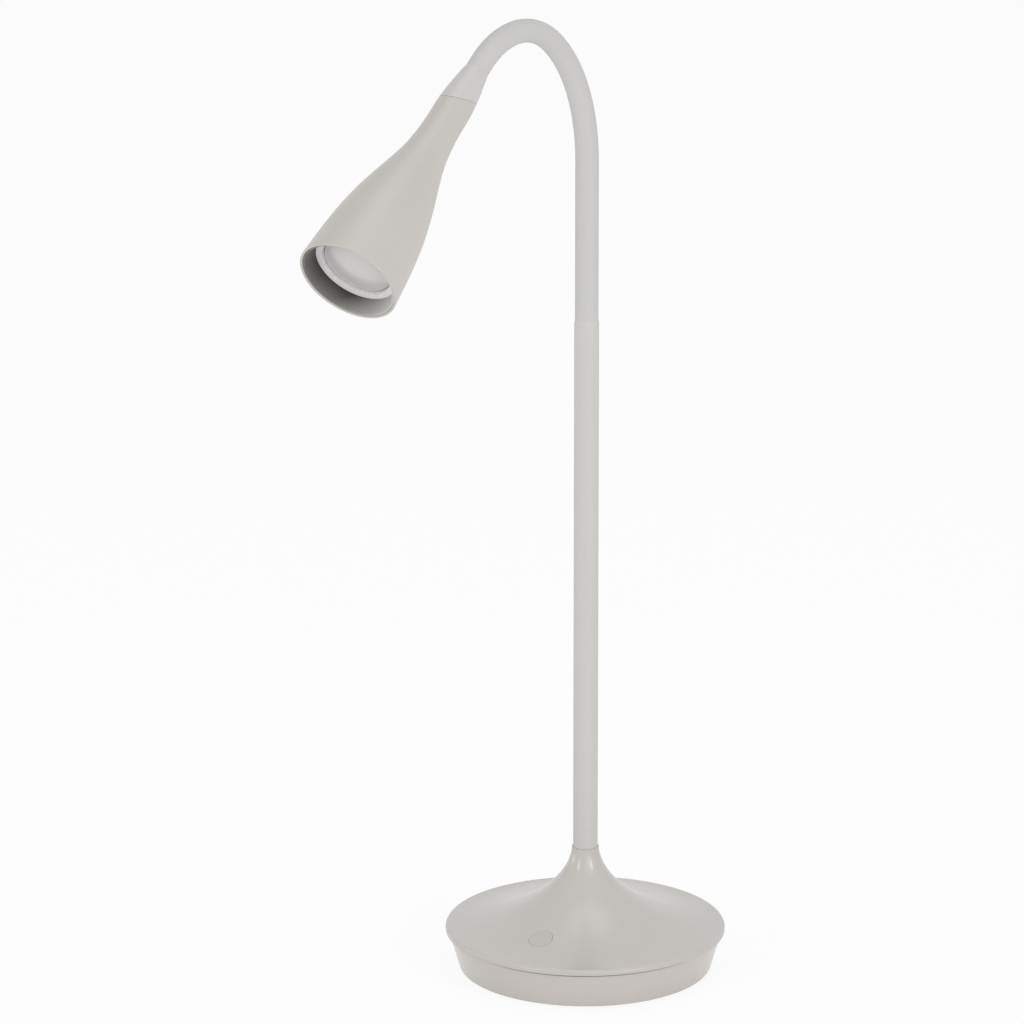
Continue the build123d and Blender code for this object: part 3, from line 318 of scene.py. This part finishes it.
class LAMP_OT_base(bpy.types.Operator):
    """Finish the cover, the skirt, the button, the foot pad and the cord's gland"""

    bl_idname = "lamp.base"
    bl_label = "Base"

    def execute(self, context):
        colours = context.scene.lamp_colours
        # Satin moulded ABS: a spark-eroded mould leaves a sheen that blurs lights into soft windows.
        # Its real grain of 0.2 mm is too fine to show, so it is drawn at 0.9 mm.
        satin = {"grain_mm": 0.9, "grain_depth_mm": 0.003, "gloss": (0.22, 0.27), "IOR": 1.53}
        dress(finish("satin_abs_cover", colours.cover, **satin), "base_cover")
        dress(finish("satin_abs_button", colours.button, **satin), "power_button")
        dress(finish("satin_abs_skirt", colours.pan, **satin), *nodes_of("pan_plastic"))
        # Foamed rubber sheet: dull and dark, with open cells of about 0.8 mm.
        dress(finish("foam_rubber_pad", linear("#2B2B2B"), drift=0.15, drift_mm=4.0, grain_mm=0.8,
                     grain_depth_mm=0.15, gloss=(0.8, 0.95)), *nodes_of("pad_rubber"))
        # Moulded nylon: a little waxy, with a fine eroded grain.
        dress(finish("moulded_nylon_gland", linear("#A9A6A1"), grain_mm=0.7, grain_depth_mm=0.006,
                     gloss=(0.4, 0.52), IOR=1.53), *nodes_of("gland_plastic"))
        return {"FINISHED"}


class LAMP_OT_stem(bpy.types.Operator):
    """Finish the straight tube"""

    bl_idname = "lamp.stem"
    bl_label = "Stem"

    def execute(self, context):
        # Powder coat on steel: even and satin, with a faint orange peel of about 1.5 mm.
        dress(finish("powder_coated_steel_stem", context.scene.lamp_colours.stem, grain_mm=1.5,
                     grain_depth_mm=0.004, gloss=(0.44, 0.52), IOR=1.5), *nodes_of("stem_steel"))
        return {"FINISHED"}


class LAMP_OT_gooseneck(bpy.types.Operator):
    """Draw the smooth silicone sleeve over the steel core, one bending stretch per joint"""

    bl_idname = "lamp.gooseneck"
    bl_label = "Gooseneck"

    def execute(self, context):
        sizes = context.scene.lamp_sizes
        # Extruded silicone: smooth and softly sheened, with a faint drift of tone along it.
        silicone = finish("extruded_silicone_sleeve", context.scene.lamp_colours.sleeve, drift=0.015,
                          grain_mm=0.8, grain_depth_mm=0.002, gloss=(0.55, 0.65), IOR=1.43)
        total = neck_line(sizes, np.zeros(1))[2]
        chain = neck_joints()
        joints = np.linspace(sizes.first_joint, total - sizes.last_link, len(chain))
        reach = (joints[1] - joints[0]) / 2
        cuts = np.concatenate(([0.0], joints[:-1] + reach, [total]))
        for count, joint in enumerate(chain):
            skin = sleeve_skin(sizes, f"neck_skin_{count + 1}", cuts[count], cuts[count + 1])
            skin.data.materials.append(silicone)
            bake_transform(skin)
            hidden = [f"neck_sleeve_{count}"]
            if joint is chain[-1]:
                hidden.append(f"neck_sleeve_{count + 1}")
            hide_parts(*hidden)
        # Wound steel strip: grey metal with a drawn grain of about 0.5 mm.
        dress(finish("wound_steel_core", linear("#8F9092"), drift=0.08, drift_mm=3.0, grain_mm=0.5,
                     grain_depth_mm=0.02, gloss=(0.28, 0.42), Metallic=1.0), *nodes_of("core_steel"))
        return {"FINISHED"}


class LAMP_OT_head(bpy.types.Operator):
    """Finish the collar, the shade and the ring inside its mouth"""

    bl_idname = "lamp.head"
    bl_label = "Head"

    def execute(self, context):
        colours = context.scene.lamp_colours
        sizes = context.scene.lamp_sizes
        # Satin moulded ABS, a shade cooler and lighter than the painted head below it.
        dress(finish("satin_abs_collar", colours.collar, grain_mm=0.9, grain_depth_mm=0.003,
                     gloss=(0.34, 0.42), IOR=1.53), *nodes_of("collar_plastic"))
        # Powder coat on spun aluminium: satin, with a faint orange peel of about 1.5 mm.
        dress(finish("powder_coated_aluminium_shade", colours.shade, grain_mm=1.5,
                     grain_depth_mm=0.004, gloss=(0.34, 0.42), IOR=1.5), *nodes_of("shade_paint"))
        # Moulded ABS with painted light and shade: the colour is painted shade deep in the recess
        # beside the lens ring, fading to painted light towards the mouth, and is painted lighter
        # towards one side where light reaches the wall. The lighter colour takes over across these
        # lengths.
        recess_shade_run, side_light_run, side_light_start = 34 * MM, 30 * MM, 8 * MM
        ring, along = head_place(sizes, sizes.lens_depth)
        recess_shade_fade = (colours.baffle_painted_light, ring, along, recess_shade_run)
        # Painted light: the wall lightens towards one side.
        side_light_fade = (colours.baffle_painted_light, ring - side_light_start * ACROSS, along + ACROSS, side_light_run)
        dress(finish("moulded_abs_baffle_painted_shade_and_light", colours.baffle_painted_shade, grain_mm=0.7, gloss=(0.38, 0.46),
                     IOR=1.53, fades=(recess_shade_fade, side_light_fade)), *nodes_of("baffle_plastic"))
        return {"FINISHED"}


class LAMP_OT_light_module(bpy.types.Operator):
    """Finish the lens, its ring, the reflector and what cools and carries the light source"""

    bl_idname = "lamp.light_module"
    bl_label = "Light module"

    def execute(self, context):
        colours = context.scene.lamp_colours
        # White polycarbonate: bright, glossy and slightly milky.
        dress(finish("white_polycarbonate_ring", colours.ring, drift=0.01, gloss=(0.16, 0.24),
                     IOR=1.58), *nodes_of("ring_plastic"))
        # Frosted polycarbonate: milky, with a polished front that keeps soft highlights.
        dress(finish("frosted_polycarbonate_lens", colours.lens, drift=0.015, drift_mm=8.0,
                     grain_mm=0.6, gloss=(0.14, 0.22), IOR=1.58), *nodes_of("lens_plastic"))
        # Vacuum-metallised plastic: a bright mirror with a trace of flow marks.
        dress(finish("metallised_reflector", linear("#E4E4E4"), drift=0.03, drift_mm=6.0,
                     gloss=(0.06, 0.14), Metallic=1.0), *nodes_of("mirror_plastic"))
        # Turned aluminium: pale metal with fine tool marks of about 0.3 mm.
        dress(finish("turned_aluminium_sink", linear("#C8C9CB"), drift=0.05, drift_mm=5.0, grain_mm=0.3,
                     grain_depth_mm=0.01, gloss=(0.25, 0.4), Metallic=1.0), *nodes_of("sink_aluminium"))
        # Phosphor gel: glossy yellow, slightly grainy from its powder of phosphor.
        dress(finish("phosphor_gel", linear("#E3C24E"), drift=0.08, drift_mm=1.5, grain_mm=0.3,
                     gloss=(0.15, 0.3), IOR=1.41), *nodes_of("phosphor"))
        return {"FINISHED"}


class LAMP_OT_inner_works(bpy.types.Operator):
    """Finish the weight, the fixings, the board with its parts and the leads"""

    bl_idname = "lamp.inner_works"
    bl_label = "Inner works"

    def execute(self, context):
        # Cast iron as cast: dark, dull and rough, with a skin of about 1.2 mm.
        dress(finish("cast_iron_weight", linear("#4A4A4B"), drift=0.15, drift_mm=10.0, grain_mm=1.2,
                     grain_depth_mm=0.12, gloss=(0.6, 0.8), Metallic=1.0), *nodes_of("cast_weight"))
        # Zinc-plated steel: bright and slightly blue, with a fine drawn grain.
        dress(finish("zinc_plated_steel", linear("#BFC1C6"), drift=0.06, drift_mm=3.0, grain_mm=0.3,
                     grain_depth_mm=0.006, gloss=(0.22, 0.34), Metallic=1.0), *nodes_of("plated_steel"))
        # Solder mask over glass laminate: glossy green with the weave of about 0.5 mm under it.
        dress(finish("solder_masked_laminate", linear("#2F6B4A"), drift=0.12, drift_mm=2.0,
                     grain_mm=0.5, grain_depth_mm=0.01, gloss=(0.25, 0.35), IOR=1.55),
              *nodes_of("board_laminate"))
        # Sintered ferrite: dark, dull and slightly pitted.
        dress(finish("sintered_ferrite", linear("#3A3A3C"), drift=0.1, drift_mm=2.0, grain_mm=0.4,
                     grain_depth_mm=0.02, gloss=(0.55, 0.7)), *nodes_of("ferrite"))
        # Drawn aluminium can: pale metal with lengthwise drawing marks.
        dress(finish("drawn_aluminium_can", linear("#BEC1C6"), drift=0.05, drift_mm=2.0, grain_mm=0.3,
                     grain_depth_mm=0.006, gloss=(0.2, 0.32), Metallic=1.0), *nodes_of("capacitor_can"))
        # Glass-filled nylon: black and dull, with the fibres just showing.
        dress(finish("glass_filled_nylon_switch", linear("#262626"), drift=0.12, drift_mm=1.5,
                     grain_mm=0.4, grain_depth_mm=0.01, gloss=(0.45, 0.6), IOR=1.53),
              *nodes_of("switch_plastic"))
        # Extruded PVC: white and slightly waxy.
        dress(finish("extruded_pvc_jacket", linear("#DEDDDA"), drift=0.02, drift_mm=6.0, grain_mm=0.5,
                     grain_depth_mm=0.004, gloss=(0.35, 0.45), IOR=1.53), *nodes_of("lead_jacket"))
        return {"FINISHED"}


def shown_rays(tree):
    """1 for rays that show the surroundings: to the camera, off a gloss or through glass."""
    path = add(tree, "ShaderNodeLightPath", {})
    direct = add(tree, "ShaderNodeMath", {
        0: path.outputs["Is Camera Ray"], 1: path.outputs["Is Glossy Ray"]}, operation="MAXIMUM")
    return add(tree, "ShaderNodeMath", {
        0: direct.outputs[0], 1: path.outputs["Is Transmission Ray"]}, operation="MAXIMUM").outputs[0]


def white_paper(glow):
    """Matt white paper that keeps the shadow, evened out to white where it is seen or mirrored."""
    material = bpy.data.materials.new("white_studio_paper")
    tree = empty_tree(material)
    share = add(tree, "ShaderNodeMath", {0: shown_rays(tree), 1: glow}, operation="MULTIPLY")
    matt = add(tree, "ShaderNodeBsdfDiffuse", {"Color": PAPER})
    white = add(tree, "ShaderNodeEmission", {"Color": WHITE, "Strength": 1.0})
    mixed = add(tree, "ShaderNodeMixShader", {
        0: share.outputs[0], 1: matt.outputs[0], 2: white.outputs[0]})
    add(tree, "ShaderNodeOutputMaterial", {"Surface": mixed.outputs[0]})
    return material


def white_dome(level):
    """An even dome: white where it is seen or mirrored, softer as a light."""
    world = bpy.data.worlds.new("white_studio_dome")
    tree = empty_tree(world)
    strength = add(tree, "ShaderNodeMapRange", {
        "Value": shown_rays(tree), "To Min": level, "To Max": 1.0})
    dome = add(tree, "ShaderNodeBackground", {"Color": WHITE, "Strength": strength.outputs[0]})
    add(tree, "ShaderNodeOutputWorld", {"Surface": dome.outputs[0]})
    return world


def around(stage, side, distance, height):
    """A place round the lamp: side is the turn from the camera in degrees."""
    heading = stage.heading + math.radians(side)
    return Vector((math.sin(heading) * distance, -math.cos(heading) * distance, height))


def soft_box(scene, name, place, size, level):
    """An area light that looks at the lamp; level is the brightness of its face."""
    light = bpy.data.lights.new(name, "AREA")
    light.shape = "RECTANGLE"
    light.size, light.size_y = size
    light.energy = level * math.pi * size[0] * size[1]
    box = bpy.data.objects.new(name, light)
    turned = (Vector(LIGHT_AIM) - place).to_track_quat("-Z", "Y").to_matrix().to_4x4()
    box.matrix_world = Matrix.Translation(place) @ turned
    box.visible_camera = False
    scene.collection.objects.link(box)


class LAMP_OT_stage(bpy.types.Operator):
    """Set the pale floor, the soft lights and the camera"""

    bl_idname = "lamp.stage"
    bl_label = "Stage"

    def execute(self, context):
        scene = context.scene
        stage = scene.lamp_stage
        scene.view_settings.view_transform = "Standard"
        mesh = bpy.data.meshes.new("floor")
        mesh.from_pydata([(side * FLOOR_REACH, end * FLOOR_REACH, -FLOOR_DROP)
                          for side, end in ((-1, -1), (1, -1), (1, 1), (-1, 1))], [], [(0, 1, 2, 3)])
        mesh.materials.append(white_paper(stage.glow))
        floor = bpy.data.objects.new("floor", mesh)
        scene.collection.objects.link(floor)
        scene.world = white_dome(stage.dome)
        for name, side, distance, height, size, level in SOFT_BOXES:
            soft_box(scene, name, around(stage, side, distance, height), size, level)
        forward = Vector((-math.sin(stage.heading) * math.cos(stage.tip),
                          math.cos(stage.heading) * math.cos(stage.tip), -math.sin(stage.tip)))
        right = Vector((math.cos(stage.heading), math.sin(stage.heading), 0.0))
        turn = Matrix((right, right.cross(forward), -forward)).transposed().to_4x4()
        lens = bpy.data.cameras.new("camera")
        lens.lens = stage.focal
        lens.sensor_width = stage.sensor
        camera = bpy.data.objects.new("camera", lens)
        camera.matrix_world = Matrix.Translation(stage.place) @ turn
        scene.collection.objects.link(camera)
        scene.camera = camera
        return {"FINISHED"}


class LAMP_PT_lamp(bpy.types.Panel):
    """The lamp's sizes, colours and making steps"""

    bl_idname = "LAMP_PT_lamp"
    bl_label = "Gooseneck lamp"
    bl_space_type = "VIEW_3D"
    bl_region_type = "UI"
    bl_category = "Lamp"

    def draw(self, context):
        scene = context.scene
        for group in (scene.lamp_sizes, scene.lamp_colours, scene.lamp_stage):
            for name in group.__annotations__:
                self.layout.prop(group, name)
        for step in STEPS:
            self.layout.operator(step.bl_idname)


GROUPS = {"lamp_colours": LampColours, "lamp_sizes": LampSizes, "lamp_stage": LampStage}
STEPS = (LAMP_OT_base, LAMP_OT_stem, LAMP_OT_gooseneck, LAMP_OT_head, LAMP_OT_light_module,
         LAMP_OT_inner_works, LAMP_OT_stage)
CLASSES = (*GROUPS.values(), *STEPS, LAMP_PT_lamp)


def register():
    """Register the classes and hang the groups of values on the scene."""
    for made in CLASSES:
        bpy.utils.register_class(made)
    for name, group in GROUPS.items():
        setattr(bpy.types.Scene, name, bpy.props.PointerProperty(type=group))


def unregister():
    """Take away what register added."""
    for name in GROUPS:
        delattr(bpy.types.Scene, name)
    for made in reversed(CLASSES):
        bpy.utils.unregister_class(made)


def main():
    register()
    bpy.ops.lamp.base()
    bpy.ops.lamp.stem()
    bpy.ops.lamp.gooseneck()
    bpy.ops.lamp.head()
    bpy.ops.lamp.light_module()
    bpy.ops.lamp.inner_works()
    bpy.ops.lamp.stage()


if __name__ == "__main__":
    main()
